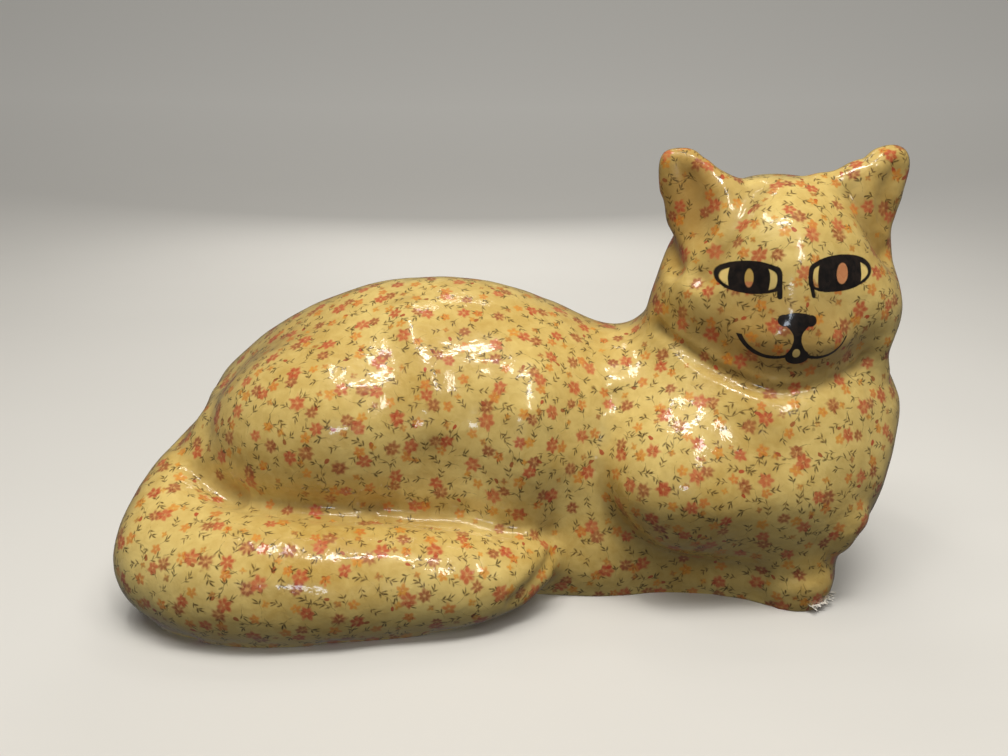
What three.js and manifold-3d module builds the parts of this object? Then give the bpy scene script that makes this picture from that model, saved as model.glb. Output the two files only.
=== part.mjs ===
// Papier-mache cat lying down, its head turned over its right shoulder and its tail along its right side.
// Millimetres. +X runs from the rump to the chest, +Z is up, and the cat's right side faces -Y.
// The origin is the middle of the base, on the surface that the cat rests on.
import * as THREE from "three";
import { mergeVertices } from "three/addons/utils/BufferGeometryUtils.js";
import Module from "manifold-3d";

// Driving dimensions
const BACK_HEIGHT = 172;
const TRUNK_HALF_WIDTH = 88;
const HEAD_CENTRE = new THREE.Vector3(149, -14, 180);
const HEAD_TURN = 3.5; // degrees past square to the body
const HEAD_HALF_WIDTH = 61;
const EAR_RISE = 72; // tip of the ear above the head's centre
const EAR_SET = 8; // ear in front of the middle of the head
const EAR_SPLAY = 20; // degrees that an ear faces outwards
const EAR_FLATNESS = 1.6;
const TAIL_RADIUS = 29;
const TAIL_TIP_RADIUS = 16;
const PAW_RADIUS = 19;

// Mesh density: the head is sampled more finely than the body
const BODY_STEP = 11.5;
const HEAD_STEP = 7;
const HEAD_FROM_X = 70;
const HEAD_FROM_Y = -70;
const HEAD_TO_Y = 15;
const HEAD_FROM_Z = 110;
const SLIDE_ROUNDS = 4;
const EVEN_ROUNDS = 2;
const CLEAR_OF_CUT = 1.5; // no vertex comes closer to the base's plane, so that the cut leaves no slivers

const at = (x, y, z) => new THREE.Vector3(x, y, z);

// Signed distance to an ellipsoid, close to true near its surface. In degrees, turn is about +Z and
// lean about its own Y.
function ellipsoid(centre, radii, turn = 0, lean = 0) {
  const spin = new THREE.Matrix4()
    .makeRotationZ(THREE.MathUtils.degToRad(turn))
    .multiply(new THREE.Matrix4().makeRotationY(THREE.MathUtils.degToRad(lean)))
    .invert();
  const local = new THREE.Vector3();
  const scaled = new THREE.Vector3();
  return (p) => {
    local.subVectors(p, centre).applyMatrix4(spin).divide(radii);
    const reach = local.length();
    const slope = scaled.copy(local).divide(radii).length();
    return slope > 0 ? (reach * (reach - 1)) / slope : -Math.min(radii.x, radii.y, radii.z);
  };
}

// Signed distance to a tube along a smooth curve, its radius running evenly between the given ones.
function tube(points, radii, steps) {
  const path = new THREE.CatmullRomCurve3(points, false, "centripetal").getPoints(steps);
  const radiusAt = (share) => {
    const place = share * (radii.length - 1);
    const i = Math.min(Math.floor(place), radii.length - 2);
    return THREE.MathUtils.lerp(radii[i], radii[i + 1], place - i);
  };
  const line = new THREE.Line3();
  const near = new THREE.Vector3();
  return (p) => {
    let least = Infinity;
    for (let i = 0; i < steps; i++) {
      line.set(path[i], path[i + 1]);
      const share = line.closestPointToPointParameter(p, true);
      line.at(share, near);
      least = Math.min(least, near.distanceTo(p) - radiusAt((i + share) / steps));
    }
    return least;
  };
}

// Union of two distances, rounded over about the given width where they meet.
function blended(a, b, width) {
  const overlap = Math.max(width - Math.abs(a - b), 0) / width;
  return Math.min(a, b) - (overlap * overlap * width) / 4;
}

// What is left of a when b is pressed out of it, with a rounded rim.
function pressed(a, b, width) {
  return -blended(-a, b, width);
}

// The same form on the cat's other side
function mirrored(field) {
  const other = new THREE.Vector3();
  return (p) => field(other.set(p.x, -p.y, p.z));
}

function trunk() {
  return [
    { field: ellipsoid(at(-53, 0, 86), at(135, TRUNK_HALF_WIDTH, BACK_HEIGHT - 86)), blend: 1 },
    { field: ellipsoid(at(-70, 0, 40), at(130, 88, 56)), blend: 24 },
    { field: ellipsoid(at(66, 0, 66), at(120, 72, 66)), blend: 30 },
    { field: ellipsoid(at(4, -38, 84), at(34, 56, 64)), blend: 8 },
    { field: ellipsoid(at(38, -44, 18), at(52, 38, 26)), blend: 26 },
  ];
}

// Fills the underside between the body and the tail, so that the base is one flat area.
function base() {
  return [
    { field: ellipsoid(at(0, 3, 8), at(184, 74, 40)), blend: 20 },
    { field: ellipsoid(at(-112, -52, 6), at(88, 62, 28)), blend: 20 },
  ];
}

function haunches() {
  const haunch = ellipsoid(at(-107, -47, 90), at(76, 59, 56), 0, -8);
  return [
    { field: haunch, blend: 10 },
    { field: mirrored(haunch), blend: 18 },
    { field: ellipsoid(at(-122, 8, 84), at(82, 64, 56)), blend: 12 },
  ];
}

function tail() {
  const route = [
    at(-154, -10, 88),
    at(-184, -50, 63),
    at(-185, -97, 33),
    at(-145, -116, 29),
    at(-60, -109, 26),
    at(-12, -103, 24),
    at(8, -96, 26),
  ];
  const radii = [22, 29, TAIL_RADIUS + 7, TAIL_RADIUS + 5, TAIL_RADIUS, 22, TAIL_TIP_RADIUS];
  return [{ field: tube(route, radii, 48), blend: 16 }];
}

function forequarters() {
  const forearm = tube([at(50, -56, 16), at(100, -55, 13), at(150, -64, 12)], [22, 20, 18], 12);
  const paw = ellipsoid(at(160, -69, 14), at(26, 26, PAW_RADIUS));
  const upperArm = ellipsoid(at(97, -48, 70), at(52, 56, 52), 0, 14);
  return [
    { field: ellipsoid(at(142, -8, 101), at(85, 78, 63)), blend: 24 },
    { field: ellipsoid(at(145, -28, 61), at(69, 70, 56)), blend: 30 },
    { field: forearm, blend: 12 },
    { field: paw, blend: 8 },
    { field: upperArm, blend: 9 },
    { field: mirrored(upperArm), blend: 24 },
    { field: ellipsoid(at(118, 42, 26), at(72, 48, 34)), blend: 24 },
    { field: ellipsoid(at(145, -4, 138), at(60, 52, 44)), blend: 28 },
  ];
}

// The head is shaped in its own frame: X to its left ear, Y out of the face, Z up, with both halves alike.
function head() {
  const turn = THREE.MathUtils.degToRad(HEAD_TURN);
  const across = at(Math.cos(turn), -Math.sin(turn), 0);
  const facing = at(-Math.sin(turn), -Math.cos(turn), 0);
  const offset = new THREE.Vector3();
  const local = new THREE.Vector3();
  const inHead = (field) => (p) => {
    offset.subVectors(p, HEAD_CENTRE);
    return field(local.set(Math.abs(offset.dot(across)), offset.dot(facing), offset.z));
  };
  const skull = ellipsoid(at(0, 0, 0), at(HEAD_HALF_WIDTH, 58, 57));
  const cheek = ellipsoid(at(34, 14, -19), at(36, 36, 32));
  const jaw = ellipsoid(at(0, 18, -36), at(46, 36, 23));
  const muzzle = ellipsoid(at(0, 42, -31), at(33, 24, 19));
  const pad = ellipsoid(at(13, 51, -31), at(15, 14, 12));
  const chin = ellipsoid(at(0, 44, -48), at(24, 16, 13));
  const nose = tube([at(0, 42, 16), at(0, 52, 0), at(0, 57, -15)], [10, 11, 10], 6);
  return [
    { field: inHead(skull), blend: 10 },
    { field: inHead(cheek), blend: 16 },
    { field: inHead(jaw), blend: 12 },
    { field: inHead(muzzle), blend: 16 },
    { field: inHead(pad), blend: 10 },
    { field: inHead(chin), blend: 10 },
    { field: inHead(nose), blend: 16 },
    { field: inHead(ear()), blend: 16 },
  ];
}

// One ear: a flat blade that faces a little outwards, with a shallow hollow in its front.
function ear() {
  const splay = THREE.MathUtils.degToRad(EAR_SPLAY);
  const blade = tube(
    [at(34, 0, 4), at(42, 0, 38), at(57, 0, EAR_RISE - 12)],
    [20, 21, 13],
    10,
  );
  const hollow = ellipsoid(at(48, 20, 38), at(15, 10, 27), 0, 18);
  const flat = new THREE.Vector3();
  return (p) => {
    const out = Math.sin(splay) * (p.x - 50) + Math.cos(splay) * (p.y - EAR_SET);
    const side = Math.cos(splay) * (p.x - 50) - Math.sin(splay) * (p.y - EAR_SET) + 50;
    const body = blade(flat.set(side, out * EAR_FLATNESS, p.z));
    return pressed(body, hollow(flat.set(side, out, p.z)), 6);
  };
}

// The whole cat, as one signed distance. Below the table its outline runs straight down, to be cut off.
const FORMS = [...trunk(), ...base(), ...haunches(), ...forequarters(), ...head(), ...tail()];
const SKIRT = 20;
const above = new THREE.Vector3();
function cat(p) {
  above.set(p.x, p.y, Math.max(p.z, 0));
  const body = FORMS.reduce((joined, { field, blend }) => blended(joined, field(above), blend), 1e3);
  return Math.max(body, -SKIRT - p.z);
}

// Grid lines from low to high, closer together past the place where the head begins.
function gridLines(low, high, fineFrom, fineTo = Infinity) {
  const lines = [low];
  while (lines.at(-1) < high) {
    const fine = lines.at(-1) >= fineFrom && lines.at(-1) < fineTo;
    lines.push(lines.at(-1) + (fine ? HEAD_STEP : BODY_STEP));
  }
  return lines;
}

// Closed quad mesh of field = 0: one vertex in each grid cell that the surface crosses, and one quad
// around each grid edge that it crosses.
function surfaceNet(field, xs, ys, zs) {
  const size = [xs.length, ys.length, zs.length];
  const index = (i, j, k) => (i * size[1] + j) * size[2] + k;
  const corner = new THREE.Vector3();
  const values = new Float64Array(size[0] * size[1] * size[2]);
  for (let i = 0; i < size[0]; i++)
    for (let j = 0; j < size[1]; j++)
      for (let k = 0; k < size[2]; k++) values[index(i, j, k)] = field(corner.set(xs[i], ys[j], zs[k]));

  const points = [];
  const cellPoint = new Map();
  const place = (i, j, k) => at(xs[i], ys[j], zs[k]);
  const AXES = [[1, 0, 0], [0, 1, 0], [0, 0, 1]];
  const inside = (i, j, k) => values[index(i, j, k)] < 0;

  function pointOf(i, j, k) {
    const key = index(i, j, k);
    if (cellPoint.has(key)) return cellPoint.get(key);
    const sum = new THREE.Vector3();
    let crossings = 0;
    AXES.forEach((along, axis) => {
      const sides = AXES.filter((_, other) => other !== axis);
      for (let n = 0; n < 4; n++) {
        const start = [i, j, k].map((c, d) => c + (n & 1) * sides[0][d] + (n >> 1) * sides[1][d]);
        const end = start.map((c, d) => c + along[d]);
        const a = values[index(...start)];
        const b = values[index(...end)];
        if (a < 0 === b < 0) continue;
        sum.add(place(...start).lerp(place(...end), a / (a - b)));
        crossings++;
      }
    });
    cellPoint.set(key, points.length);
    points.push(sum.divideScalar(crossings));
    return points.length - 1;
  }

  const quads = [];
  for (let i = 1; i < size[0] - 1; i++)
    for (let j = 1; j < size[1] - 1; j++)
      for (let k = 1; k < size[2] - 1; k++)
        AXES.forEach((along, axis) => {
          const a = inside(i, j, k);
          if (a === inside(i + along[0], j + along[1], k + along[2])) return;
          const u = AXES[(axis + 1) % 3];
          const w = AXES[(axis + 2) % 3];
          const ring = [[0, 0], [1, 0], [1, 1], [0, 1]].map(([m, n]) =>
            pointOf(i - m * u[0] - n * w[0], j - m * u[1] - n * w[1], k - m * u[2] - n * w[2]),
          );
          quads.push(a ? ring : ring.reverse());
        });
  return { points, quads };
}

// Returns a function that gives the middle of each vertex's neighbours.
function neighbourMiddles({ points, quads }) {
  const neighbours = points.map(() => new Set());
  for (const quad of quads)
    quad.forEach((a, n) => {
      const b = quad[(n + 1) % 4];
      neighbours[a].add(b);
      neighbours[b].add(a);
    });
  return () =>
    neighbours.map((ring) => {
      const sum = new THREE.Vector3();
      for (const n of ring) sum.add(points[n]);
      return sum.divideScalar(ring.size);
    });
}

// Slides each vertex along the surface towards the middle of its neighbours, then back onto the surface.
// The last rounds leave it where it slid to, which evens out the creases.
function relax(field, net) {
  const probe = 0.5;
  const ahead = new THREE.Vector3();
  const slope = new THREE.Vector3();
  const slopeAt = (p, d) => {
    for (const axis of ["x", "y", "z"]) {
      ahead.copy(p)[axis] += probe;
      slope[axis] = (field(ahead) - d) / probe;
    }
    return slope;
  };
  const middles = neighbourMiddles(net);
  for (let round = 0; round < SLIDE_ROUNDS; round++) {
    const targets = middles();
    net.points.forEach((p, i) => {
      p.lerp(targets[i], 0.5);
      for (let step = 0; step < 2; step++) {
        const d = field(p);
        const s = slopeAt(p, d);
        p.addScaledVector(s, -d / s.lengthSq());
      }
    });
  }
  for (let round = 0; round < EVEN_ROUNDS; round++) {
    const targets = middles();
    net.points.forEach((p, i) => p.lerp(targets[i], 0.3));
  }
}

function geometryOf(points, triangles) {
  const geometry = new THREE.BufferGeometry().setFromPoints(points);
  return geometry.setIndex(triangles);
}

const wasm = await Module();
wasm.setup();

function solidOf(geometry) {
  const bare = geometry.clone();
  bare.deleteAttribute("normal");
  bare.deleteAttribute("uv");
  const merged = mergeVertices(bare);
  return new wasm.Manifold(
    new wasm.Mesh({
      numProp: 3,
      vertProperties: merged.attributes.position.array,
      triVerts: new Uint32Array(merged.index.array),
    }),
  );
}

// The cat stands on a flat base: everything below the table is cut away.
function cutFlat(geometry) {
  const depth = 100;
  const table = new THREE.BoxGeometry(1000, 1000, depth).translate(0, 0, -depth / 2);
  const { vertProperties, triVerts } = solidOf(geometry).subtract(solidOf(table)).getMesh();
  return new THREE.BufferGeometry()
    .setAttribute("position", new THREE.BufferAttribute(vertProperties, 3))
    .setIndex(new THREE.BufferAttribute(triVerts, 1));
}

function catGeometry() {
  const xs = gridLines(-245, 250, HEAD_FROM_X);
  const ys = gridLines(-165, 120, HEAD_FROM_Y, HEAD_TO_Y);
  const zs = gridLines(-35, 275, HEAD_FROM_Z);
  const net = surfaceNet(cat, xs, ys, zs);
  relax(cat, net);
  for (const p of net.points) {
    if (Math.abs(p.z) < CLEAR_OF_CUT) p.z = p.z < 0 ? -CLEAR_OF_CUT : CLEAR_OF_CUT;
  }
  const triangles = net.quads.flatMap(([a, b, c, d]) => [a, b, c, a, c, d]);
  const geometry = cutFlat(geometryOf(net.points, triangles));
  geometry.computeBoundingBox();
  const { min, max } = geometry.boundingBox;
  return geometry.translate(-(min.x + max.x) / 2, -(min.y + max.y) / 2, 0);
}

const calico = new THREE.MeshStandardMaterial({ color: 0xd9b85f, roughness: 0.3, metalness: 0 });
const mesh = new THREE.Mesh(catGeometry(), calico);
mesh.name = "cat";

const part = new THREE.Group();
part.add(mesh);
export default part;
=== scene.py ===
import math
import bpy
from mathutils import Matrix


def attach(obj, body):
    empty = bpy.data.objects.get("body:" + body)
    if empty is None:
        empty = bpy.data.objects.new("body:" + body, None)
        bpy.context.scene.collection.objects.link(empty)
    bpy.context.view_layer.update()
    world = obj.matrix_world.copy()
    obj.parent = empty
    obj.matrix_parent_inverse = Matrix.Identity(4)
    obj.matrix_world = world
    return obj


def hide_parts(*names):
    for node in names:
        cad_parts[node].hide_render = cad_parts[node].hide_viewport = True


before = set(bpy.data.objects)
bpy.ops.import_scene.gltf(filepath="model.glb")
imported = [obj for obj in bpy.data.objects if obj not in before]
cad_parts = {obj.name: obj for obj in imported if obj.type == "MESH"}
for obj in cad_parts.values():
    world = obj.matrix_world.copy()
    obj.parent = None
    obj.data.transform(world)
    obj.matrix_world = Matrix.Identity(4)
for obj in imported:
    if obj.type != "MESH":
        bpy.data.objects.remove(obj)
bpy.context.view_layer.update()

# Papier-mache cat covered in small-flowered paper, with a painted face, under glossy yellowed varnish.
# Blender works in metres. Sizes and places named here are millimetres in the same frame, apart from those
# whose comment says metres.
from types import SimpleNamespace

import bmesh
import bpy
import numpy as np
from mathutils import Vector, noise
from mathutils.bvhtree import BVHTree
from mathutils.kdtree import KDTree

MM = 0.001
SEED = 11

# Skin
SUBDIVISIONS = 2
WELD = 1e-6  # metres between two corners of the solid that are one
BASE_TOP = 1e-5  # metres: faces of the solid that lie lower than this are its base
RELIEF_START = 6  # the relief grows from nothing at the table to its full depth at this height
PATH_REACH = 3  # half widths from its path at which a crease or swelling has faded out
LUMPS = ((46, 1.1), (19, 0.45), (8, 0.12))  # wavelength and height of the hand-laid paper's unevenness
SHADED_DEPTH = 5.0  # a crease of this depth or more gets the darkest painted shade
CREASES = {  # depth, half width and the places that each crease or hollow passes through
    "knee": (0.9, 10, [(-45, -66, 92), (-46, -67, 78), (-58, -72, 62)]),
    "tail_top": (6.5, 7, [
        (-182, -62, 76), (-173, -66, 71), (-158, -70, 65), (-138, -79, 65), (-115, -82, 64), (-94, -80, 62),
        (-74, -73, 59), (-53, -71, 56), (-31, -68, 55),
    ]),
    "tail_side": (4.0, 6, [(-31, -69, 54), (-9, -69, 49), (19, -62, 41)]),
    "tail_root": (2.6, 7, [(-202, -38, 85), (-189, -58, 80), (-180, -70, 72)]),
    "tail_tip": (3.0, 5, [(20, -67, 33), (18, -78, 31), (11, -88, 26), (0, -95, 19)]),
    "ribs": (1.6, 10, [(41, -4, 143), (46, -23, 130), (53, -36, 116)]),
    "shoulder": (3.6, 8, [(53, -36, 116), (44, -53, 77), (61, -58, 43), (99, -56, 22), (137, -63, 20)]),
    "chest": (1.2, 12, [(112, -64, 108), (107, -73, 95), (105, -79, 78)]),
    "paw": (1.8, 5, [(135, -57, 2), (140, -64, 14), (148, -68, 21), (164, -68, 22)]),
    "under_cheeks": (4.0, 15, [
        (88, -28, 156), (106, -48, 143), (141, -60, 135), (172, -50, 139), (186, -43, 142),
    ]),
    "jaw": (6.0, 5.5, [(78, -16, 152), (104, -44, 136), (141, -58, 126), (183, -43, 135), (191, -39, 140)]),
    "right_ear_foot": (5.0, 8, [(128, -12, 231), (116, -28, 214), (105, -32, 195), (98, -32, 184)]),
    "right_ear_hollow": (3.0, 10, [(93, -10, 235), (96, -14, 222), (101, -20, 206)]),
    "right_ear_back": (4.5, 6, [(86, 22, 212), (84, 14, 206), (85, 3, 198), (87, -7, 191), (89, -16, 184)]),
    "left_ear_foot": (5.0, 8, [(178, -18, 227), (184, -22, 220), (192, -23, 207), (200, -20, 195)]),
    "left_ear_hollow": (2.5, 10, [(203, -13, 235), (200, -17, 224), (199, -19, 212)]),
    "left_ear_edge": (2.6, 4.5, [(216, 3, 243), (216, 3, 238)]),
}
SWELLINGS = {  # height, half width and the places that each low swelling passes through
    "back": (2.8, 24, [(-90, 12, 168), (-63, 15, 171), (-26, 17, 170)]),
    "rump": (3.2, 10, [(-188, -8, 105), (-184, -24, 103), (-185, -34, 98)]),
    "flank": (3.2, 11, [(-66, -18, 160), (-58, -38, 146), (-50, -54, 124), (-46, -62, 104)]),
    "breast": (3.5, 17, [(64, -69, 71), (80, -77, 71), (100, -80, 71), (122, -75, 71), (145, -74, 75)]),
    "chest_side": (3.0, 15, [(213, -24, 112), (210, -32, 101), (205, -41, 88), (199, -50, 76)]),
    "elbow": (5.0, 10, [(186, -59, 53), (182, -61, 47), (180, -59, 41)]),
    "nape_side": (3.2, 9, [(200, -33, 145), (201, -30, 137), (205, -26, 130)]),
    "muzzle": (1.6, 9, [(132, -56, 151), (138, -60, 147), (156, -61, 147), (161, -58, 150)]),
    "right_ear_tip": (2.2, 8, [(98, -3, 244), (104, -6, 237), (110, -9, 230)]),
    "right_ear_edge": (2.4, 8, [(80, 5, 242), (81, 5, 230), (83, 6, 220), (86, 6, 210)]),
    "left_ear_tip": (2.2, 9, [(194, -8, 242), (203, -5, 247), (208, -5, 240), (207, -7, 226)]),
    "left_ear_root": (3.5, 8, [(166, -6, 234), (174, -6, 237), (181, -3, 239)]),
}

# Head's own frame: X across the face to the viewer's right, Y up, Z out of the face
HEAD_CENTRE = (146.9, 8.3, 180)
HEAD_TURN = 3.5  # degrees
FACE_FRONT = 34  # the paint lies further forward than this
AHEAD = 150  # distance in front of the head's centre from which places on the face are looked up

# Print
SPACING = {  # least distance between two motifs of a kind
    "coral": 18.5, "maroon": 20, "amber": 16.5, "bud": 17, "sprig": 7.9, "vine": 21,
}
SMALLEST = {"coral": 0.74, "maroon": 0.74, "amber": 0.7, "bud": 0.7, "sprig": 0.75, "vine": 0.8}
SIZE_RANGE = 0.25  # the largest motif of a kind is larger than the smallest by this
PUPIL_FLOWERS = ((24.4, 7.6), (-22.8, -1.2))  # places on the face of two coral flowers
TOUCHING = 0.5  # share of the coral flowers that have a maroon one against them, and the same for amber
TOUCH = 6.8  # distance between the middles of two touching flowers
CLEAR = 5.6  # least distance between the middles of any two flowers
TRIES = 14  # random places tried for each square of skin as wide as the spacing
LIFT = 4.0  # motifs are looked up this far off the skin, so that thin ears keep their two sides apart
FAR = 99.0  # place in a motif that no motif reaches
NEAR_TABLE = 1  # height under which a face that points down is part of the base, which has no print
DOWNWARD = -0.99  # upward part of a normal that points down, or nearly so
STEEP = 0.8  # upward part of a normal from which the first direction in the skin is taken from X, not Z
TINY = 1e-3  # stands in for no distance at all at a motif's own middle


def srgb(red, green, blue):
    """Scene colour of an 8-bit screen colour."""
    def linear(level):
        level /= 255
        return level / 12.92 if level <= 0.04045 else ((level + 0.055) / 1.055) ** 2.4
    return (linear(red), linear(green), linear(blue), 1)


GROUND_PALE, GROUND_DEEP = srgb(222, 197, 122), srgb(188, 155, 80)
# deep amber-brown of darkened varnish, also used as painted shade on the lower face and the fronts of the
# ears
AGED_AND_SHADE = srgb(146, 98, 34)
# dark brown of the stains and specks, also used for the painted shade in the creases
GRIME_AND_SHADE = srgb(92, 56, 20)
CORAL, SALMON = srgb(176, 60, 36), srgb(194, 104, 64)
PETAL_PINK = srgb(190, 102, 74)
MAROON, RUST = srgb(134, 58, 38), srgb(150, 86, 44)
AMBER, ORANGE = srgb(210, 138, 38), srgb(198, 104, 42)
LEAF, LEAF_BROWN = srgb(54, 40, 12), srgb(84, 56, 18)
BLACK, BLACK_WORN = srgb(14, 11, 10), srgb(44, 34, 28)
TORN_WHITE, TORN_GREY = srgb(236, 234, 228), srgb(208, 202, 190)
FLOOR_PALE, FLOOR_DEEP = srgb(214, 213, 210), srgb(209, 208, 205)
WALL = srgb(236, 236, 234)


# Skin of the cat, from its solid

def subdivided_shell(node):
    """The solid's skin without its base, as smooth quads."""
    bm = bmesh.new()
    bm.from_mesh(node.data)
    bmesh.ops.remove_doubles(bm, verts=bm.verts, dist=WELD)
    base = [f for f in bm.faces if max(v.co.z for v in f.verts) < BASE_TOP]
    bmesh.ops.delete(bm, geom=base, context="FACES")
    bmesh.ops.join_triangles(
        bm, faces=bm.faces, angle_face_threshold=math.pi, angle_shape_threshold=math.pi
    )
    mesh = bpy.data.meshes.new("cat_skin")
    bm.to_mesh(mesh)
    bm.free()
    cage = bpy.data.objects.new("cage", mesh)
    bpy.context.collection.objects.link(cage)
    smooth = cage.modifiers.new("smooth", "SUBSURF")
    smooth.levels = SUBDIVISIONS
    shell = bpy.data.meshes.new_from_object(cage.evaluated_get(bpy.context.evaluated_depsgraph_get()))
    bpy.data.objects.remove(cage)
    return shell


def smooth_path(points, steps=12):
    """Points along a smooth curve through the given ones."""
    p = np.array(points, float)
    p = np.vstack([2 * p[0] - p[1], p, 2 * p[-1] - p[-2]])
    t = np.linspace(0, 1, steps, endpoint=False)[:, None]
    spans = [
        0.5 * (2 * b + (c - a) * t + (2 * a - 5 * b + 4 * c - d) * t**2 + (3 * b - a - 3 * c + d) * t**3)
        for a, b, c, d in zip(p, p[1:], p[2:], p[3:])
    ]
    return np.vstack([*spans, p[-2:-1]])


def near_path(places, half_width, points):
    """Which places lie near the smooth path, and how close those are, from 0 far off to 1 on the path."""
    path = smooth_path(points)
    reach = PATH_REACH * half_width
    near = np.all((places > path.min(0) - reach) & (places < path.max(0) + reach), axis=1)
    gap = np.linalg.norm(places[near, None] - path[None], axis=2).min(1)
    return near, np.exp(-((gap / half_width) ** 2))


def relief_at(places):
    """How deep each place is pressed in, negative where it swells, and its share of painted crease shade,
    from 0 to 1.
    """
    depth = np.zeros(len(places))
    crease_shade = np.zeros(len(places))
    for deepest, half_width, points in CREASES.values():
        near, close = near_path(places, half_width, points)
        depth[near] = np.maximum(depth[near], deepest * close)
        crease_shade[near] = np.maximum(crease_shade[near], close * min(1, deepest / SHADED_DEPTH))
    height = np.zeros(len(places))
    for highest, half_width, points in SWELLINGS.values():
        near, close = near_path(places, half_width, points)
        height[near] = np.maximum(height[near], highest * close)
    return depth - height, crease_shade


def shape_relief(mesh):
    """Gives the skin its creases, swellings and unevenness, and marks the creases for painted shade."""
    count = len(mesh.vertices)
    places = np.empty(count * 3, np.float32)
    mesh.vertices.foreach_get("co", places)
    places = places.reshape(-1, 3).astype(float) / MM
    normals = np.empty(count * 3, np.float32)
    mesh.vertices.foreach_get("normal", normals)
    normals = normals.reshape(-1, 3)
    depth, crease_shade = relief_at(places)
    lumps = np.zeros(count)
    for wavelength, height in LUMPS:
        lumps += [height * noise.noise(Vector(p / wavelength)) for p in places]
    off_table = np.clip(places[:, 2] / RELIEF_START, 0, 1)
    places += normals * ((lumps - depth) * off_table)[:, None]
    places[:, 2] = np.maximum(places[:, 2], 0)
    mesh.vertices.foreach_set("co", (places * MM).astype(np.float32).ravel())
    mesh.attributes.new("crease", "FLOAT", "POINT").data.foreach_set("value", crease_shade.astype(np.float32))
    mesh.update()
    return places


def close_base(mesh):
    """Fills the open underside with flat faces."""
    bm = bmesh.new()
    bm.from_mesh(mesh)
    rim = [e for e in bm.edges if e.is_boundary]
    filled = bmesh.ops.holes_fill(bm, edges=rim, sides=0)["faces"]
    bmesh.ops.triangulate(bm, faces=filled)
    bmesh.ops.recalc_face_normals(bm, faces=bm.faces)
    for face in bm.faces:
        face.smooth = True
    bm.to_mesh(mesh)
    bm.free()


def skin_of(mesh):
    """The mesh as arrays: each face's middle, normal and area, and each corner's place and face."""
    count = len(mesh.polygons)
    places = np.empty(len(mesh.vertices) * 3, np.float32)
    mesh.vertices.foreach_get("co", places)
    places = places.reshape(-1, 3) / MM
    middles, normals = np.empty(count * 3, np.float32), np.empty(count * 3, np.float32)
    mesh.polygons.foreach_get("center", middles)
    mesh.polygons.foreach_get("normal", normals)
    area, sides = np.empty(count, np.float32), np.empty(count, np.int32)
    mesh.polygons.foreach_get("area", area)
    mesh.polygons.foreach_get("loop_total", sides)
    corners = np.empty(len(mesh.loops), np.int32)
    mesh.loops.foreach_get("vertex_index", corners)
    middles, normals = middles.reshape(-1, 3) / MM, normals.reshape(-1, 3)
    return SimpleNamespace(
        middles=middles,
        normals=normals,
        lifted=middles + normals * LIFT,
        area=area / MM**2,
        base=(normals[:, 2] < DOWNWARD) & (middles[:, 2] < NEAR_TABLE),
        corners=places[corners],
        corner_face=np.repeat(np.arange(count), sides),
    )


# Print on the paper: motifs strewn over the skin, each with its own flat frame

def tree_of(points):
    tree = KDTree(len(points))
    for i, p in enumerate(points):
        tree.insert(p, i)
    tree.balance()
    return tree


def scattered(rng, skin, spacing, first=(), avoid=()):
    """Faces picked at random over the skin, no two closer than the spacing and none close to the avoided."""
    weights = np.where(skin.base, 0, skin.area)
    tries = int(TRIES * weights.sum() / spacing**2)
    order = rng.choice(len(weights), size=tries, p=weights / weights.sum())
    crowd = tree_of(skin.lifted[list(avoid)]) if len(avoid) else None
    chosen = []
    cells = {}
    around = [(i, j, k) for i in (-1, 0, 1) for j in (-1, 0, 1) for k in (-1, 0, 1)]
    for face in [*first, *order]:
        place = skin.lifted[face]
        cell = tuple((place // spacing).astype(int))
        near = [n for step in around for n in cells.get(tuple(map(sum, zip(cell, step))), ())]
        if near and np.linalg.norm(skin.lifted[near] - place, axis=1).min() < spacing:
            continue
        if crowd and crowd.find(place)[2] < CLEAR:
            continue
        cells.setdefault(cell, []).append(face)
        chosen.append(face)
    return chosen


def tangents(normals, angles):
    """Two directions in the skin at each normal, turned by the angles."""
    helper = np.where(np.abs(normals[:, 2:]) < STEEP, [[0.0, 0.0, 1.0]], [[1.0, 0.0, 0.0]])
    u = np.cross(helper, normals)
    u /= np.linalg.norm(u, axis=1)[:, None]
    v = np.cross(normals, u)
    cos, sin = np.cos(angles)[:, None], np.sin(angles)[:, None]
    return u * cos + v * sin, v * cos - u * sin


def touching(rng, skin, faces):
    """Faces beside some of the given flowers, where another flower touches them."""
    picked = np.array(faces)[rng.random(len(faces)) < TOUCHING]
    u, _ = tangents(skin.normals[picked], rng.uniform(0, 2 * math.pi, len(picked)))
    finder = tree_of(skin.lifted)
    return [finder.find(p)[1] for p in skin.lifted[picked] + u * TOUCH]


def lay_motifs(rng, mesh, skin, name, faces):
    """Writes each corner's place in the nearest motif's own frame, and that motif's own random number.
    A place keeps its true distance from the motif's middle, so that motifs don't stretch on bent skin."""
    seeds = np.array(faces)
    u, v = tangents(skin.normals[seeds], rng.uniform(0, 2 * math.pi, len(seeds)))
    size = rng.uniform(SMALLEST[name], SMALLEST[name] + SIZE_RANGE, len(seeds))
    pick = rng.random(len(seeds))
    finder = tree_of(skin.lifted[seeds])
    nearest = np.array([finder.find(p)[1] for p in skin.lifted])[skin.corner_face]
    offset = skin.corners - skin.middles[seeds][nearest]
    flat = np.column_stack([
        np.einsum("ij,ij->i", offset, u[nearest]),
        np.einsum("ij,ij->i", offset, v[nearest]),
    ])
    bent = np.linalg.norm(offset, axis=1) / np.maximum(np.linalg.norm(flat, axis=1), TINY)
    local = np.column_stack([flat * (bent / size[nearest])[:, None], pick[nearest]])
    local[skin.base[skin.corner_face], :2] = FAR
    layer = mesh.attributes.new(name, "FLOAT_VECTOR", "CORNER")
    layer.data.foreach_set("vector", local.astype(np.float32).ravel())


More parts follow.
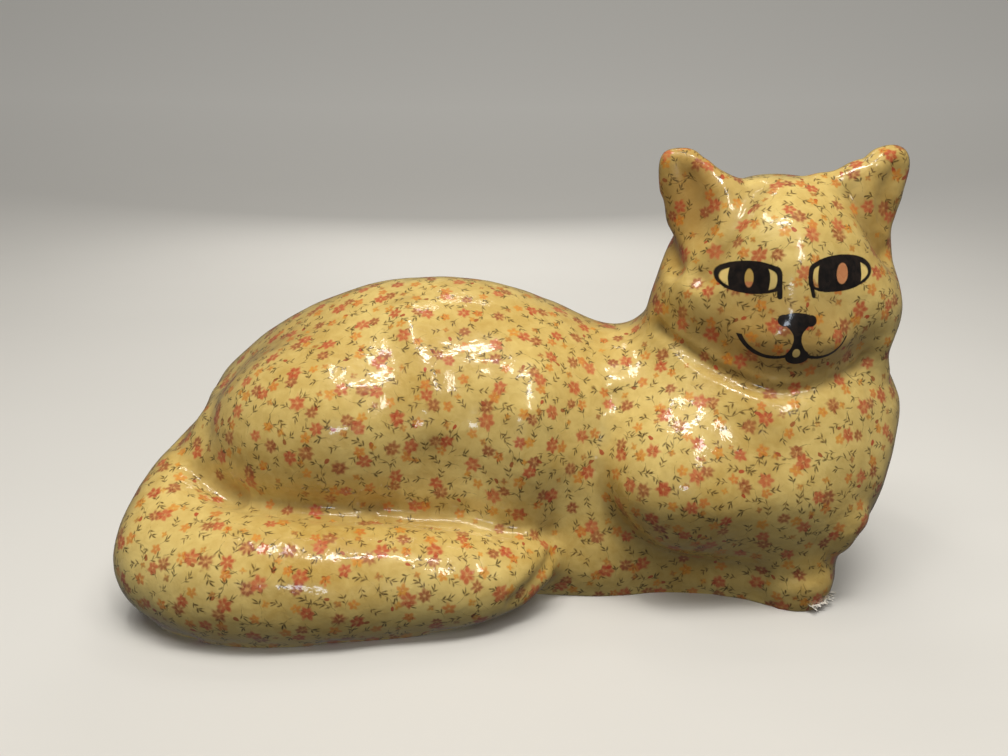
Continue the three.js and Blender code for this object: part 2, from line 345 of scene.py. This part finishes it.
def print_paper(mesh, on_face):
    """Strews the flowers, buds, sprigs and vines. Coral flowers at the pupils keep other coral ones away."""
    rng = np.random.default_rng(SEED)
    skin = skin_of(mesh)
    finder = tree_of(skin.lifted)
    pupils = [finder.find(on_face(*place))[1] for place in PUPIL_FLOWERS]
    coral = scattered(rng, skin, SPACING["coral"], first=pupils)
    maroon = scattered(rng, skin, SPACING["maroon"], touching(rng, skin, coral), coral)
    amber = scattered(rng, skin, SPACING["amber"], touching(rng, skin, coral), [*coral, *maroon])
    bud = scattered(rng, skin, SPACING["bud"], avoid=[*coral, *maroon, *amber])
    sprig = scattered(rng, skin, SPACING["sprig"])
    vine = scattered(rng, skin, SPACING["vine"])
    strewn = {"coral": coral, "maroon": maroon, "amber": amber, "bud": bud, "sprig": sprig, "vine": vine}
    for name, faces in strewn.items():
        lay_motifs(rng, mesh, skin, name, faces)


# Head's frame

def head_axes():
    turn = math.radians(HEAD_TURN)
    across = np.array([math.cos(turn), -math.sin(turn), 0])
    out = np.array([-math.sin(turn), -math.cos(turn), 0])
    return across, np.array([0, 0, 1]), out


def mark_face(mesh, places):
    """Writes each vertex's place in the head's frame."""
    local = (places - np.array(HEAD_CENTRE)) @ np.column_stack(head_axes())
    mesh.attributes.new("face", "FLOAT_VECTOR", "POINT").data.foreach_set(
        "vector", local.astype(np.float32).ravel()
    )


def face_finder(mesh, places):
    """Returns a function from a place on the face, across and up, to the skin there."""
    skin = BVHTree.FromPolygons(places.tolist(), [tuple(p.vertices) for p in mesh.polygons])
    across, up, out = head_axes()

    def on_face(x, y):
        start = np.array(HEAD_CENTRE) + across * x + up * y + out * AHEAD
        return skin.ray_cast(Vector(start), Vector(-out))[0]
    return on_face


# Shader arithmetic

ENDLESS = 1e6
MIX_COLOURS, MIX_RESULT = (6, 7), 2  # a Mix node's colour sockets
NOISES = {  # wavelength, detail and distortion, then the gain and offset that spread the noise
    "tone": (70, 3, 0.0, 2.2, -0.6),
    "mottle": (6, 3, 0.5, 1.0, -0.5),
    "specks": (3.2, 1, 0.0, 9, -6.6),
    "ragged": (1.6, 1, 0.0, 0.7, -0.35),
    "uneven": (2.6, 1, 0.0, 2.4, -1.2),
    "ink_grain": (1.8, 1, 0.0, 2.6, -0.8),
    "wobble": (5, 1, 0.0, 0.5, -0.25),
    "brushed": (3.5, 2, 0.6, 2.0, -0.7),
    "wear": (22, 3, 0.0, 0.25, 0.18),
}


class Field:
    """A number that varies over the surface. Arithmetic on it adds Math nodes."""

    def __init__(self, tree, socket):
        self.tree = tree
        self.socket = socket

    def math(self, operation, *others, clamp=False):
        node = self.tree.nodes.new("ShaderNodeMath")
        node.operation = operation
        node.use_clamp = clamp
        for slot, value in zip(node.inputs, (self, *others)):
            if isinstance(value, Field):
                self.tree.links.new(value.socket, slot)
            else:
                slot.default_value = value
        return Field(self.tree, node.outputs[0])

    def __add__(self, other):
        return self.math("ADD", other)

    def __sub__(self, other):
        return self.math("SUBTRACT", other)

    def __mul__(self, other):
        return self.math("MULTIPLY", other)

    def __neg__(self):
        return self.math("MULTIPLY", -1.0)

    def __abs__(self):
        return self.math("ABSOLUTE")

    def scaled(self, factor, offset):
        return self.math("MULTIPLY_ADD", factor, offset)

    def clamped(self):
        return self.math("MAXIMUM", 0.0, clamp=True)

    def inside(self, softness):
        """1 where this distance is negative and 0 outside, over a soft edge."""
        return self.math("MULTIPLY_ADD", -1 / softness, 0.5, clamp=True)


def least(*distances):
    """Union of the distances."""
    union = distances[0]
    for other in distances[1:]:
        union = union.math("MINIMUM", other)
    return union


def most(*distances):
    """What the distances have in common."""
    common = distances[0]
    for other in distances[1:]:
        common = common.math("MAXIMUM", other)
    return common


def attribute(tree, name):
    node = tree.nodes.new("ShaderNodeAttribute")
    node.attribute_name = name
    return node


def object_place(tree):
    return tree.nodes.new("ShaderNodeTexCoord").outputs["Object"]


def split(tree, vector):
    node = tree.nodes.new("ShaderNodeSeparateXYZ")
    tree.links.new(vector, node.inputs[0])
    return [Field(tree, out) for out in node.outputs]


def joined(tree, x, y):
    node = tree.nodes.new("ShaderNodeCombineXYZ")
    tree.links.new(x.socket, node.inputs[0])
    tree.links.new(y.socket, node.inputs[1])
    return node.outputs[0]


def ellipse(tree, vector, centre, half, turn=0.0, depth=ENDLESS):
    """Distance outside an ellipse in the vector's XY plane, close to true at its rim. With a half depth it is
    an ellipsoid."""
    mapping = tree.nodes.new("ShaderNodeMapping")
    mapping.vector_type = "TEXTURE"
    mapping.inputs["Location"].default_value = (*centre, 0)[:3]
    mapping.inputs["Rotation"].default_value = (0, 0, math.radians(turn))
    mapping.inputs["Scale"].default_value = (*half, depth)[:3]
    tree.links.new(vector, mapping.inputs["Vector"])
    length = tree.nodes.new("ShaderNodeVectorMath")
    length.operation = "LENGTH"
    tree.links.new(mapping.outputs[0], length.inputs[0])
    return Field(tree, length.outputs["Value"]).scaled(min(half), -min(half))


def noise_field(tree, wavelength, detail=2.0, distortion=0.0):
    """Noise from 0 to 1 over the object, with the wavelength in millimetres."""
    node = tree.nodes.new("ShaderNodeTexNoise")
    node.inputs["Scale"].default_value = 1 / (wavelength * MM)
    node.inputs["Detail"].default_value = detail
    node.inputs["Distortion"].default_value = distortion
    tree.links.new(object_place(tree), node.inputs["Vector"])
    return Field(tree, node.outputs["Fac"])


def spread_noise(tree, name):
    wavelength, detail, distortion, gain, offset = NOISES[name]
    return noise_field(tree, wavelength, detail, distortion).scaled(gain, offset)


def mixed(tree, factor, *colours):
    """Colour that goes from the first to the second as the factor goes from 0 to 1."""
    node = tree.nodes.new("ShaderNodeMix")
    node.data_type = "RGBA"
    tree.links.new(factor.socket, node.inputs[0])
    for slot, colour in zip(MIX_COLOURS, colours):
        if isinstance(colour, tuple):
            node.inputs[slot].default_value = colour
        else:
            tree.links.new(colour, node.inputs[slot])
    return node.outputs[MIX_RESULT]


# Motifs of the print, each in its own flat frame

EDGE = 0.35  # softness of the printed edges
LEAF_EDGE = EDGE * 1.6
PETAL_EDGE = EDGE * 3.2
DISC_EDGE = EDGE * 4
EYE_EDGE = EDGE * 2.5
PATCH_EDGE = EDGE * 3
PETAL_INK, DISC_INK, EYE_BARE = 0.76, 0.45, 0.5  # how much the ink, or the bare paper, covers
STEM_INK, LEAF_INK, VINE_INK, BUD_INK = 0.55, 0.88, 0.8, 0.9
INK_SPREAD = 0.9  # how far apart the inks of two flowers of a kind may be
FLOWERS = (  # layer, inks, petals (count, reach, half length, half width), bare eye, ink of the disc behind
    ("bud", (RUST, AMBER), (4, 1.0, 1.3, 1.0), -0.9, None),
    ("amber", (AMBER, ORANGE), (5, 2.0, 1.8, 1.4), -0.2, None),
    ("maroon", (MAROON, RUST), (7, 2.5, 1.8, 0.95), 0.4, SALMON),
    ("coral", (CORAL, SALMON), (6, 2.7, 2.0, 1.25), 0.2, SALMON),
)

# Sprigs and vines: each leaf has its middle, half size and turn
SPRIG_BEND = 0.06
SPRIG_STEM = ((-0.5, 0), (3.2, 0.16))
SPRIG_PAIR = (((1.7, 1.05), (1.45, 0.46), 44), ((1.2, -1.1), (1.4, 0.44), -46))
SPRIG_TIP = ((3.2, 0.1), (1.4, 0.46), 4)
SPRIG_LOWER = (((-1.4, 1.0), (1.25, 0.42), 40), ((-2.2, -0.95), (1.15, 0.4), -42))
TIPPED = 0.4  # a sprig whose random number is lower has no leaf at its tip
SHORT = 0.6  # a sprig whose random number is higher has no lower pair
VINE_WAVE, VINE_RATE = 1.3, 0.42  # height of the vine's waves, and radians in a millimetre
VINE_STEM, VINE_REACH = 0.14, 9.0  # half thickness and half length
VINE_STEP = 4.2  # half the length in which the leaves repeat
VINE_LEAVES = (((-2.1, 1.0), (1.4, 0.45), 42), ((2.1, -1.0), (1.4, 0.45), -42))
VINE_LEAVES_END = 8.2
VINE_BUD = ((9.6, 0), (1.6, 1.15))


def motif_place(tree, name):
    """Place in the named layer's motif: across, along, distance and angle, and the motif's random number."""
    x, y, pick = split(tree, attribute(tree, name).outputs["Vector"])
    radius = (x * x + y * y).math("SQRT")
    return SimpleNamespace(x=x, y=y, pick=pick, radius=radius, angle=y.math("ARCTAN2", x))


def petals(spot, count, reach, half_length, half_width):
    """Distance outside a ring of oval petals, whose middles are at the reach from the flower's middle."""
    step = 2 * math.pi / count
    sector = (spot.angle * (1 / step)).math("PINGPONG", 0.5) * step
    across = spot.radius * sector * (1 / half_width)
    along = spot.radius.scaled(1 / half_length, -reach / half_length)
    return (across * across + along * along).math("SQRT").scaled(half_width, -half_width)


def print_flowers(tree, colour, flower, ink_grain, uneven):
    """Lays one layer of uneven flowers over the colour, their petals blotched between the two inks."""
    name, inks, shape, eye, disc_ink = flower
    spot = motif_place(tree, name)
    if disc_ink:
        _, reach, half_length, _ = shape
        disc = spot.radius - (reach + half_length / 2) + uneven
        colour = mixed(tree, disc.inside(DISC_EDGE) * DISC_INK, colour, disc_ink)
    ink = mixed(tree, (spot.pick.scaled(INK_SPREAD, -INK_SPREAD / 2) + ink_grain).clamped(), *inks)
    colour = mixed(tree, (petals(spot, *shape) + uneven).inside(PETAL_EDGE) * PETAL_INK, colour, ink)
    bare = (spot.radius - eye + uneven).inside(EYE_EDGE) * EYE_BARE
    return mixed(tree, bare, colour, GROUND_PALE)


def print_sprigs(tree, colour, ragged):
    """Small sprays of two to five narrow leaves on a thin bent stem."""
    spot = motif_place(tree, "sprig")
    bent = joined(tree, spot.x, spot.y - spot.x * spot.x * SPRIG_BEND)
    stem = ellipse(tree, bent, *SPRIG_STEM)
    pair = least(*[ellipse(tree, bent, *leaf) for leaf in SPRIG_PAIR])
    tip = ellipse(tree, bent, *SPRIG_TIP) + spot.pick.math("LESS_THAN", TIPPED) * FAR
    lower = least(*[ellipse(tree, bent, *leaf) for leaf in SPRIG_LOWER])
    lower += spot.pick.math("GREATER_THAN", SHORT) * FAR
    ink = mixed(tree, spot.pick, LEAF_BROWN, LEAF)
    colour = mixed(tree, (stem + ragged).inside(EDGE) * STEM_INK, colour, ink)
    return mixed(tree, (least(pair, tip, lower) + ragged).inside(LEAF_EDGE) * LEAF_INK, colour, ink)


def print_vines(tree, colour, ragged):
    """Long winding stems with leaves by turns on either side, and a bud at one end."""
    spot = motif_place(tree, "vine")
    winding = spot.y - (spot.x * VINE_RATE).math("SINE") * VINE_WAVE
    stem = most(abs(winding) - VINE_STEM, abs(spot.x) - VINE_REACH)
    turn = joined(tree, spot.x.math("WRAP", VINE_STEP, -VINE_STEP), winding)
    leaves = least(*[ellipse(tree, turn, *leaf) for leaf in VINE_LEAVES])
    green = least(stem, most(leaves, abs(spot.x) - VINE_LEAVES_END)) + ragged
    ink = mixed(tree, spot.pick, LEAF, LEAF_BROWN)
    colour = mixed(tree, green.inside(LEAF_EDGE) * VINE_INK, colour, ink)
    bud = ellipse(tree, joined(tree, spot.x, winding), *VINE_BUD) + ragged
    return mixed(tree, bud.inside(EDGE) * BUD_INK, colour, mixed(tree, spot.pick, RUST, CORAL))


# Painted face, in the head's frame: middles and half sizes are across and up

PAINT_EDGE = 0.35
LID_WIDTH, LID_HEIGHT = 2.4, 2.2  # thickness of an eye's outline at its ends, and above and below
LID_DROP = 0.5  # the outline is thicker above than below by twice this
EYE_ROUNDING = 3.0
IRIS_TALL = 1.5
IRIS_SHIFT = 1  # of the iris from the eye's middle, down and away from the nose
EYES = (  # middle, half size, turn, blunt end and its side, iris's half width, pupil's middle and half size
    ((-22.2, 4.3), (17.4, 8.5), 0, (-7.7, 1), 9.9, (-23.0, 4.0), (2.1, 4.8)),
    ((21.8, 7.0), (19.8, 9.3), 4, (4.8, -1), 12.6, (24.2, 6.9), (3.2, 5.3)),
)
STROKES = (  # top, foot and half width of the stroke at each eye's blunt end
    ((-8.95, 3.5), (-8.5, -4.4), 1.25),
    ((5.9, 5.5), (8.2, -3.6), 1.15),
)
NOSE = (  # two wings and the bar between them
    ((-6.0, -16.0), (3.1, 3.0)),
    ((7.2, -16.0), (3.1, 3.0)),
    ((0.6, -15.3), (8.2, 3.4)),
)
STEM_WAIST, STEM_HALF = -25.0, 1.95  # height and half width of the stem where it is narrowest
STEM_ACROSS, STEM_LEAN = 1.15, 0.09
STEM_FLARE_UP, STEM_FLARE_DOWN = 0.1, 0.05
STEM_MIDDLE, STEM_REACH = -25.5, 9.3
TONGUE = ((2.1, -34.9), (6.0, 4.5))
TONGUE_BARE = ((1.4, -33.0), (1.9, 2.4))
MOUTH_TOP = -25.0
MOUTH_ARCS = (  # circle's middle and half size, taper and half thickness, inner end and its side
    (((-9.9, -17.9), (18.1, 18.1)), (-0.012, 0.85), -2.0, 1),
    (((12.4, -18.0), (17.4, 17.4)), (-0.025, 1.2), 6.0, -1),
)

# Paper that the paint leaves bare: plain in the eyes and on the tongue, with petals in the pupils
BARE_PATCHES = (  # middle, half size, colour and strength
    ((-23.0, 4.3), (14.4, 6.6), GROUND_PALE, 0.9),
    ((23.0, 7.0), (16.4, 7.2), GROUND_PALE, 0.9),
    ((1.4, -33.0), (3.0, 3.4), GROUND_PALE, 0.9),
    ((24.2, 6.9), (4.0, 6.0), PETAL_PINK, 0.75),
    ((-23.0, 5.0), (3.4, 5.6), GROUND_DEEP, 0.9),
    ((-22.8, -0.3), (3.0, 2.6), PETAL_PINK, 0.7),
)


def painted_eye(tree, face, centre, half, turn, blunt, iris, pupil, pupil_half):
    """Thick outline and broad iris, with the corners and the slit pupil left bare. The end of the eye next
    to the nose is cut blunt, at the distance across that is given with the side that it is on."""
    end, side = blunt
    x = split(tree, face)[0]
    past = (x - end) * side
    outline = ellipse(tree, face, centre, half, turn).math("SMOOTH_MAX", past, EYE_ROUNDING)
    lid = (half[0] - LID_WIDTH, half[1] - LID_HEIGHT)
    opening = ellipse(tree, face, (centre[0], centre[1] - LID_DROP), lid, turn)
    opening = opening.math("SMOOTH_MAX", past + LID_WIDTH, EYE_ROUNDING)
    iris_middle = (centre[0] - side * IRIS_SHIFT, centre[1] - IRIS_SHIFT)
    ring = ellipse(tree, face, iris_middle, (iris, iris * IRIS_TALL))
    slit = ellipse(tree, face, pupil, pupil_half)
    return most(outline, least(-opening, most(ring, -slit)))


def painted_stroke(x, y, top, foot, half_width):
    """Short straight brush stroke with round ends, down from its top."""
    lean = (foot[0] - top[0]) / (foot[1] - top[1])
    middle, reach = (top[1] + foot[1]) / 2, (top[1] - foot[1]) / 2
    aside = x - y.scaled(lean, top[0] - lean * top[1])
    beyond = (abs(y - middle) - reach).math("MAXIMUM", 0.0)
    return (aside * aside + beyond * beyond).math("SQRT") - half_width


def painted_nose(tree, face, x, y):
    """Broad nose with two round wings, a stem that narrows and spreads, and the tip of a tongue."""
    nose = [ellipse(tree, face, *part) for part in NOSE]
    rise = y - STEM_WAIST
    upper = rise.math("MAXIMUM", 0.0)
    lower = rise.math("MINIMUM", 0.0)
    half_width = upper * upper * STEM_FLARE_UP + lower * lower * STEM_FLARE_DOWN + STEM_HALF
    stem = most(abs(x + rise * STEM_LEAN - STEM_ACROSS) - half_width, abs(y - STEM_MIDDLE) - STEM_REACH)
    tongue = ellipse(tree, face, *TONGUE)
    return most(least(*nose, stem, tongue), -ellipse(tree, face, *TONGUE_BARE))


def painted_mouth(tree, face, x, y):
    """Two arcs that rise from the tongue."""
    arcs = []
    for circle, taper, end, side in MOUTH_ARCS:
        arc = abs(ellipse(tree, face, *circle)) - x.scaled(*taper)
        arcs.append(most(arc, y - MOUTH_TOP, (x - end) * side))
    return least(*arcs)


def print_bare_patches(tree, colour, uneven):
    """The paper that shows where the painted face leaves it bare."""
    face = attribute(tree, "face").outputs["Vector"]
    front = split(tree, face)[2].math("GREATER_THAN", FACE_FRONT)
    for centre, half, ink, strength in BARE_PATCHES:
        patch = (ellipse(tree, face, centre, half) + uneven).inside(PATCH_EDGE) * front
        colour = mixed(tree, patch * strength, colour, ink)
    return colour


def painted_face(tree):
    """Share of black paint on the head."""
    face = attribute(tree, "face").outputs["Vector"]
    x, y, out = split(tree, face)
    distance = least(
        *[painted_eye(tree, face, *eye) for eye in EYES],
        *[painted_stroke(x, y, *stroke) for stroke in STROKES],
        painted_nose(tree, face, x, y),
        painted_mouth(tree, face, x, y),
    ) + spread_noise(tree, "wobble")
    return distance.inside(PAINT_EDGE) * out.math("GREATER_THAN", FACE_FRONT)


# Materials

DARKENED_EDGE = 22
SHADED_AND_AGED_PATCHES = (  # middle and half size in the head's frame, and strength, of the darker patches: painted shade with some darkened varnish on the lower face, painted shade on the fronts of the two ears, and darkened varnish by the paw
    ((-2, -26, 45), (40, 24, 36), 0.55),
    ((-50, 42, 16), (20, 30, 18), 0.55),
    ((54, 42, 20), (16, 26, 16), 0.3),
    ((28, -174, 72), (11, 8, 11), 0.5),
)
STAINS = (((-143, -76, 79), (1.3, 5, 4)), ((42, -36, 120), (1.5, 3, 1.2)), ((96, -60, 111), (1.2, 3, 1.6)))
STAIN_EDGE = 0.9
# shares of dark brown: painted shade in the creases, real grime in the stains and specks
CREASE_SHADE, STAIN_GRIME, SPECK_GRIME = 0.32, 0.7, 0.4
WRINKLES = ((14, 0.4, 0.8), (3.6, 0.6, 0.16), (1.7, 0.0, 0.04))  # wavelength, distortion, share of height
WRINKLE_HEIGHT = 0.9
FIBRE_TONES, FIBRE_GRAIN, FIBRE_HEIGHT = 1.5, 0.5, 0.15
FLOOR_TONES = 400
WALL_RISE = 2.0  # the floor takes on the wall's colour over one part in this of a metre


def new_material(name):
    material = bpy.data.materials.new(name)
    material.use_nodes = True
    return material, material.node_tree, material.node_tree.nodes["Principled BSDF"]


def stained_ground(tree, ragged):
    """Paper under yellowed varnish, with painted shade in the creases and on the fronts of the ears, painted
    shade with darkened varnish on the lower face, darkened varnish by the paw, and stains and specks.
    """
    tone = (spread_noise(tree, "tone") + spread_noise(tree, "mottle")).clamped()
    colour = mixed(tree, tone, GROUND_PALE, GROUND_DEEP)
    face = attribute(tree, "face").outputs["Vector"]
    # painted shade on the lower face and the ears' fronts, with darkened varnish on the lower face and by the
    # paw
    for place, half, strength in SHADED_AND_AGED_PATCHES:
        patch = ellipse(tree, face, place, half[:2], 0, half[2])
        colour = mixed(tree, patch.inside(DARKENED_EDGE) * strength, colour, AGED_AND_SHADE)
    # painted shade in the creases: the deeper the crease, the darker the colour
    crease = Field(tree, attribute(tree, "crease").outputs["Fac"])
    colour = mixed(tree, crease * crease * CREASE_SHADE, colour, GRIME_AND_SHADE)
    metres = object_place(tree)
    for place, half in STAINS:
        half_metres = [c * MM for c in half]
        spot = ellipse(tree, metres, [c * MM for c in place], half_metres[:2], 0, half_metres[2])
        stain = (spot * (1 / MM) + ragged).inside(STAIN_EDGE) * STAIN_GRIME
        colour = mixed(tree, stain, colour, GRIME_AND_SHADE)
    return mixed(tree, spread_noise(tree, "specks").clamped() * SPECK_GRIME, colour, GRIME_AND_SHADE)


def add_bump(tree, principled, height, distance):
    bump = tree.nodes.new("ShaderNodeBump")
    bump.inputs["Distance"].default_value = distance * MM
    tree.links.new(height.socket, bump.inputs["Height"])
    tree.links.new(bump.outputs["Normal"], principled.inputs["Normal"])
    return bump


def wrinkled(tree):
    """Height of the varnished paper's fine wrinkles."""
    broad, *finer = [noise_field(tree, size, 1, distortion) * share for size, distortion, share in WRINKLES]
    for wrinkle in finer:
        broad += wrinkle
    return broad


def calico_paper():
    material, tree, principled = new_material("calico_paper")
    ragged, uneven = spread_noise(tree, "ragged"), spread_noise(tree, "uneven")
    ink_grain = spread_noise(tree, "ink_grain")
    colour = stained_ground(tree, ragged)
    colour = print_vines(tree, colour, ragged)
    colour = print_sprigs(tree, colour, ragged)
    for flower in FLOWERS:
        colour = print_flowers(tree, colour, flower, ink_grain, uneven)
    colour = print_bare_patches(tree, colour, uneven)
    paint = mixed(tree, spread_noise(tree, "brushed").clamped(), BLACK, BLACK_WORN)
    colour = mixed(tree, painted_face(tree), colour, paint)
    tree.links.new(colour, principled.inputs["Base Color"])
    tree.links.new(spread_noise(tree, "wear").socket, principled.inputs["Roughness"])
    principled.inputs["Specular IOR Level"].default_value = 0.3
    principled.inputs["Coat Weight"].default_value = 0.85
    principled.inputs["Coat Roughness"].default_value = 0.08
    bump = add_bump(tree, principled, wrinkled(tree), WRINKLE_HEIGHT)
    tree.links.new(bump.outputs["Normal"], principled.inputs["Coat Normal"])
    return material


def torn_fibre():
    material, tree, principled = new_material("torn_fibre")
    tone = noise_field(tree, FIBRE_TONES)
    tree.links.new(mixed(tree, tone, TORN_WHITE, TORN_GREY), principled.inputs["Base Color"])
    principled.inputs["Roughness"].default_value = 0.85
    add_bump(tree, principled, noise_field(tree, FIBRE_GRAIN, 3), FIBRE_HEIGHT)
    return material


def pale_floor():
    material, tree, principled = new_material("pale_floor")
    floor = mixed(tree, noise_field(tree, FLOOR_TONES), FLOOR_PALE, FLOOR_DEEP)
    height = split(tree, object_place(tree))[2].math("MULTIPLY", WALL_RISE, clamp=True)
    tree.links.new(mixed(tree, height, floor, WALL), principled.inputs["Base Color"])
    principled.inputs["Roughness"].default_value = 0.6
    return material


# Pieces

def add_object(name, mesh, material):
    piece = bpy.data.objects.new(name, mesh)
    mesh.materials.clear()
    mesh.materials.append(material)
    bpy.context.collection.objects.link(piece)
    return piece


def make_cat():
    mesh = subdivided_shell(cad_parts["cat"])
    places = shape_relief(mesh)
    mark_face(mesh, places)
    on_face = face_finder(mesh, places)
    close_base(mesh)
    print_paper(mesh, on_face)
    cat = add_object("calico_cat", mesh, calico_paper())
    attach(cat, "root")
    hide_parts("cat")
    return mesh


# Torn edge of the paw: ragged shreds of the white paper under the print
TORN_ALONG = [(165, -73, 2), (171, -69, 2.5), (177, -63, 3), (181, -57, 4.5)]
SHREDS = 34
SHRED_LENGTHS, SHRED_HALF_WIDTHS = (2.2, 5.5), (0.5, 1.2)
SHRED_HALF_THICK = 0.16
SHRED_CURL = 0.35  # most that a shred bends aside, as a share of its length
SHRED_RINGS = 6
SHRED_CORNERS = ((-1, -1), (1, -1), (1, 1), (-1, 1))
SHRED_ROOT, SHRED_TAPER = 1.05, 0.8  # share of its width at its root, and the share lost by its tip
SHRED_SCATTER = 0.45  # how far shreds turn from straight out
SHRED_RISE = 0.3  # share kept of a shred's upward lean
SHRED_SUNK = 0.6  # depth of a shred's root in the paper


def add_shred(bm, rng, root, out):
    """One thin ribbon that curls away from the paw and tapers."""
    length = rng.uniform(*SHRED_LENGTHS)
    half_width = rng.uniform(*SHRED_HALF_WIDTHS)
    side = np.cross(out, rng.normal(size=3))
    side /= np.linalg.norm(side)
    lift = np.cross(side, out)
    curl = rng.uniform(-SHRED_CURL, SHRED_CURL)
    rings = []
    for share in np.linspace(0, 1, SHRED_RINGS):
        middle = root + out * (length * share) + lift * (curl * length * share**2)
        half = side * half_width * (SHRED_ROOT - SHRED_TAPER * share**2)
        thick = lift * SHRED_HALF_THICK
        rings.append([bm.verts.new((middle + a * half + b * thick) * MM) for a, b in SHRED_CORNERS])
    for low, high in zip(rings, rings[1:]):
        for k in range(4):
            bm.faces.new((low[k], low[(k + 1) % 4], high[(k + 1) % 4], high[k]))
    bm.faces.new(rings[0][::-1])
    bm.faces.new(rings[-1])


def make_torn_edge(cat_mesh):
    skin = BVHTree.FromPolygons(
        [v.co for v in cat_mesh.vertices], [tuple(p.vertices) for p in cat_mesh.polygons]
    )
    rng = np.random.default_rng(SEED)
    path = smooth_path(TORN_ALONG)
    bm = bmesh.new()
    for place in path[rng.integers(0, len(path), SHREDS)]:
        root, normal, _, _ = skin.find_nearest(Vector(place * MM))
        out = np.array(normal) + rng.normal(size=3) * SHRED_SCATTER
        out[2] = abs(out[2]) * SHRED_RISE
        start = np.array(root) / MM - np.array(normal) * SHRED_SUNK
        add_shred(bm, rng, start, out / np.linalg.norm(out))
    bmesh.ops.recalc_face_normals(bm, faces=bm.faces)
    mesh = bpy.data.meshes.new("torn_edge")
    bm.to_mesh(mesh)
    bm.free()
    torn = add_object("torn_edge", mesh, torn_fibre())
    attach(torn, "root")


# Studio

CAMERA_PLACE = (12.9, -449.7, 240)
CAMERA_DOWN = 15.5  # degrees
CAMERA_LEFT = 3.0  # degrees
LENS = 27.14
SWEEP_FLAT = 700  # radius of the flat floor, which curves up all round into a pale wall
SWEEP_LENGTH = 4200  # along the curve, whose bend grows from nothing
SWEEP_STEPS = 40
SWEEP_SIDES = 96
WARM, COOL = (1.0, 0.96, 0.89), (0.78, 0.88, 1.0)
AT_CAT, AT_WALL = (0, 0, 0.1), (0, 3, 0.8)  # metres
SOFT_LAMPS = (  # place and size in metres, watts and aim of the lamps that aren't mirrored in the varnish
    ("ceiling", (0.1, -0.45, 1.65), (1.7, 0.5), 22.5, AT_CAT),
    ("fill", (0.0, -1.9, 0.5), (1.2, 0.6), 2.4, AT_CAT),
    ("back", (-0.2, 1.8, 0.8), (1.4, 0.5), 7.5, AT_CAT),
    ("backdrop", (0.0, 0.7, 2.0), (2.0, 0.3), 30, AT_WALL),
)
GLINT_LAMPS = (  # place and size in metres, watts and colour of the lamps that are
    ("tube_near", (0.15, -0.45, 1.6), (0.5, 0.11), 4.5, WARM),
    ("tube_over", (-0.35, -0.1, 1.6), (0.5, 0.11), 3.0, WARM),
    ("tube_back", (0.0, 0.75, 1.5), (0.4, 0.07), 0.7, WARM),
    ("tube_front", (0.6, -0.95, 1.3), (0.12, 0.45), 3.2, WARM),
    ("window", (-0.1, -1.8, 0.45), (0.3, 0.2), 2.0, COOL),
)
SKY = (1.0, 0.98, 0.95, 1)
SKY_STRENGTH = 0.09


def make_floor():
    step = SWEEP_LENGTH / SWEEP_STEPS
    radius, height = SWEEP_FLAT, 0
    profile = [(radius, height)]
    for k in range(SWEEP_STEPS):
        heading = math.pi / 2 * ((k + 0.5) / SWEEP_STEPS) ** 2
        radius += step * math.cos(heading)
        height += step * math.sin(heading)
        profile.append((radius, height))
    bm = bmesh.new()
    rings = []
    for radius, height in profile:
        angles = [2 * math.pi * k / SWEEP_SIDES for k in range(SWEEP_SIDES)]
        rings.append([
            bm.verts.new((radius * MM * math.cos(a), radius * MM * math.sin(a), height * MM)) for a in angles
        ])
    bm.faces.new(rings[0]).smooth = True
    for low, high in zip(rings, rings[1:]):
        for k in range(SWEEP_SIDES):
            after = (k + 1) % SWEEP_SIDES
            bm.faces.new((low[k], high[k], high[after], low[after])).smooth = True
    mesh = bpy.data.meshes.new("floor")
    bm.to_mesh(mesh)
    bm.free()
    floor = add_object("floor", mesh, pale_floor())
    floor.visible_diffuse = False  # a pale floor that throws no light up at the cat
    floor.visible_glossy = False


def add_lamp(name, place, size, watts, colour, aim, glints):
    light = bpy.data.lights.new(name, "AREA")
    light.shape = "RECTANGLE"
    light.size, light.size_y = size
    light.energy = watts
    light.color = colour
    lamp = bpy.data.objects.new(name, light)
    lamp.location = place
    lamp.rotation_euler = (Vector(aim) - Vector(place)).to_track_quat("-Z", "Y").to_euler()
    lamp.visible_glossy = glints
    lamp.visible_camera = False
    bpy.context.collection.objects.link(lamp)


def make_studio():
    make_floor()
    for name, place, size, watts, aim in SOFT_LAMPS:
        add_lamp(name, place, size, watts, WARM, aim, glints=False)
    for name, place, size, watts, colour in GLINT_LAMPS:
        add_lamp(name, place, size, watts, colour, AT_CAT, glints=True)
    world = bpy.data.worlds.new("studio")
    world.use_nodes = True
    background = world.node_tree.nodes["Background"]
    background.inputs["Color"].default_value = SKY
    background.inputs["Strength"].default_value = SKY_STRENGTH
    scene = bpy.context.scene
    scene.world = world
    scene.view_settings.view_transform = "Standard"
    camera = bpy.data.objects.new("camera", bpy.data.cameras.new("camera"))
    camera.data.lens = LENS
    camera.location = [c * MM for c in CAMERA_PLACE]
    camera.rotation_euler = (math.radians(90 - CAMERA_DOWN), 0, math.radians(CAMERA_LEFT))
    bpy.context.collection.objects.link(camera)
    scene.camera = camera


make_torn_edge(make_cat())
make_studio()
